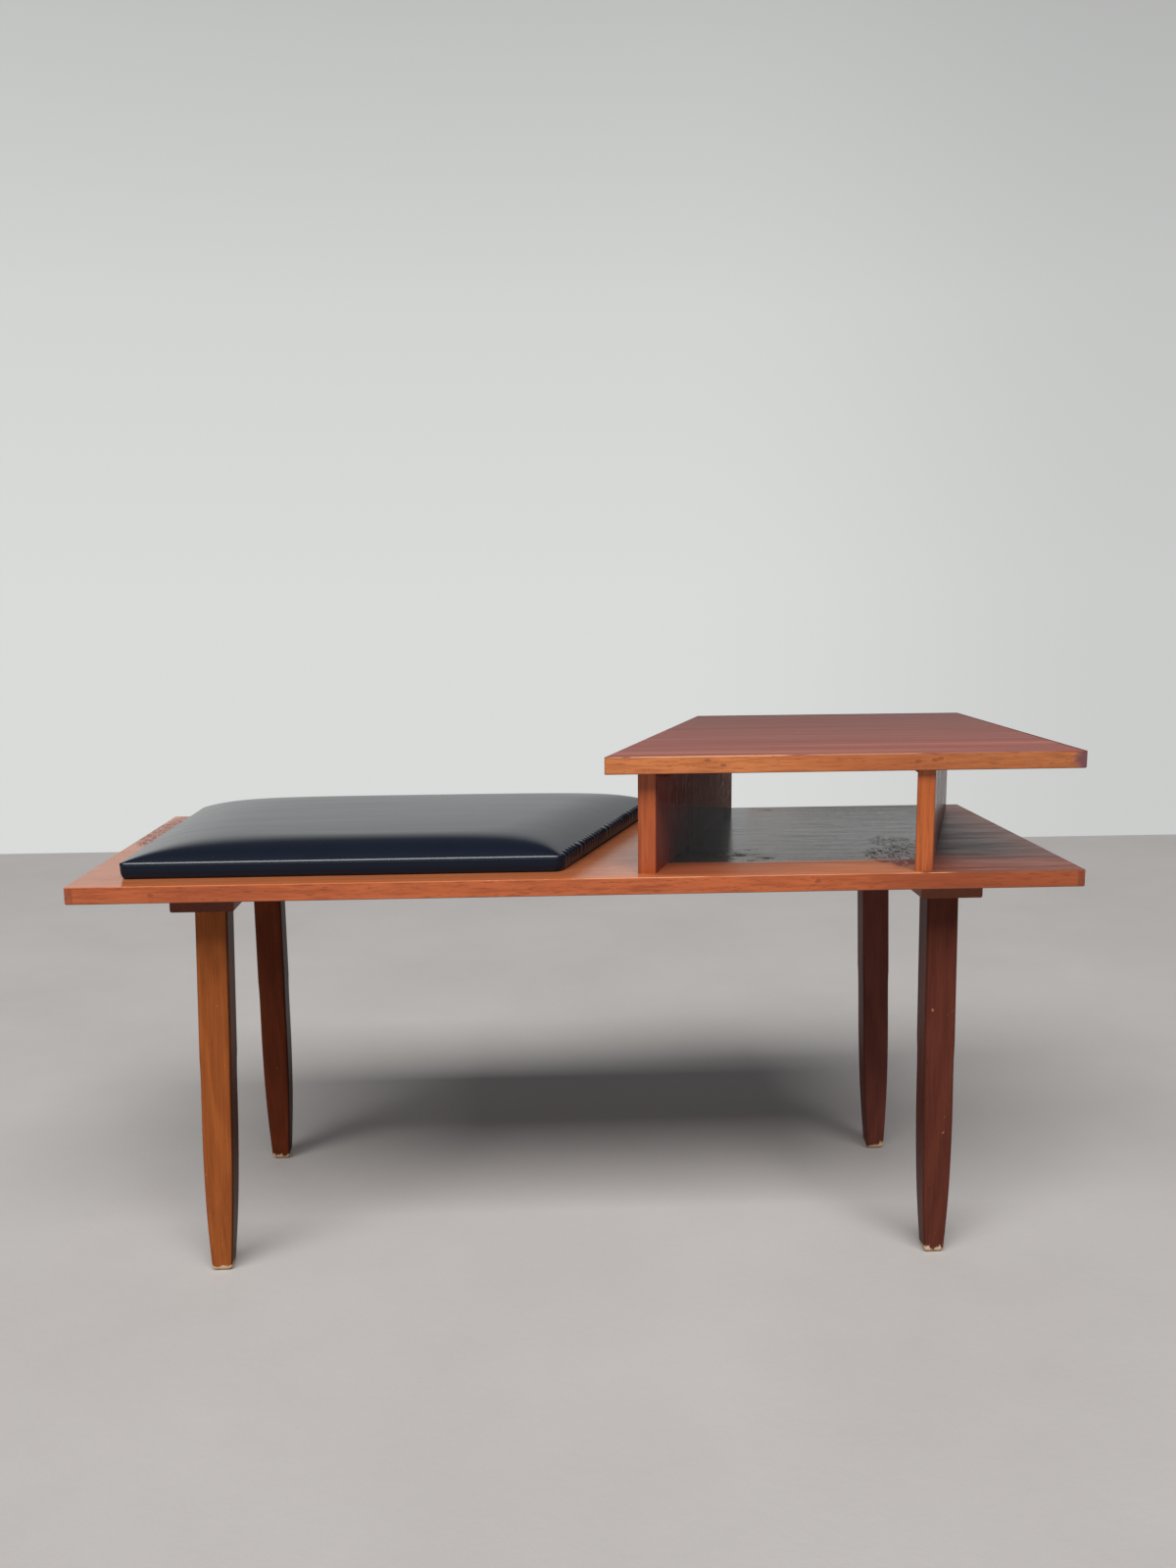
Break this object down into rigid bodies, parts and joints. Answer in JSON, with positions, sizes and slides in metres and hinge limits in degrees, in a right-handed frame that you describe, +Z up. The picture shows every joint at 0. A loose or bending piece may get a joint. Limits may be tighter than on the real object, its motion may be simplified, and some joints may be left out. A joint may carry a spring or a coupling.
{
  "type": "telephone bench",
  "caption": "Low wooden telephone bench on tapered legs, with a black padded seat at one end and a raised shelf on slanted uprights at the other.",
  "frame": {"origin": "on the floor, under the middle of the bench board", "axes": "+Z up, +X along the bench towards the shelf end, +Y from front to back"},
  "size_m": [1, 0.39, 0.549],
  "materials": {
    "top_veneer": "stained veneer, satin lacquer, grain along the board",
    "edge_lipping": "solid wood strip, orange-brown, satin lacquer",
    "board_core": "blockboard, raw",
    "upright_veneer": "dark stained veneer, grain upright, gloss lacquer",
    "leg_wood": "solid wood, brown stain, satin lacquer",
    "cleat_wood": "solid wood, dark stain",
    "raw_wood": "raw wood",
    "seat_cover": "black coated fabric, fine grain, satin",
    "seat_foam": "upholstery foam",
    "screw_steel": "plain steel"
  },
  "bodies": {
    "root": {"bench_core": "board_core", "bench_front_lipping": "edge_lipping", "bench_back_lipping": "edge_lipping", "bench_left_lipping": "edge_lipping", "bench_right_lipping": "edge_lipping", "bench_top_veneer": "top_veneer", "bench_underside_veneer": "top_veneer", "shelf_core": "board_core", "shelf_front_lipping": "edge_lipping", "shelf_back_lipping": "edge_lipping", "shelf_left_lipping": "edge_lipping", "shelf_right_lipping": "edge_lipping", "shelf_top_veneer": "top_veneer", "shelf_underside_veneer": "top_veneer", "left_upright_core": "board_core", "left_upright_front_lipping": "edge_lipping", "left_upright_back_lipping": "edge_lipping", "left_upright_left_veneer": "upright_veneer", "left_upright_right_veneer": "upright_veneer", "left_upright_screws": "screw_steel", "left_upright_dowels": "raw_wood", "right_upright_core": "board_core", "right_upright_front_lipping": "edge_lipping", "right_upright_back_lipping": "edge_lipping", "right_upright_left_veneer": "upright_veneer", "right_upright_right_veneer": "upright_veneer", "right_upright_screws": "screw_steel", "right_upright_dowels": "raw_wood", "left_glue_blocks": "cleat_wood", "left_cleat": "cleat_wood", "left_cleat_screws": "screw_steel", "right_glue_blocks": "cleat_wood", "right_cleat": "cleat_wood", "right_cleat_screws": "screw_steel", "front_left_leg": "leg_wood", "front_right_leg": "leg_wood", "back_left_leg": "leg_wood", "back_right_leg": "leg_wood", "leg_dowels": "raw_wood", "seat_base_board": "raw_wood", "seat_foam": "seat_foam", "seat_cover": "seat_cover", "cover_staples": "screw_steel", "seat_screws": "screw_steel"}
  },
  "joints": []
}
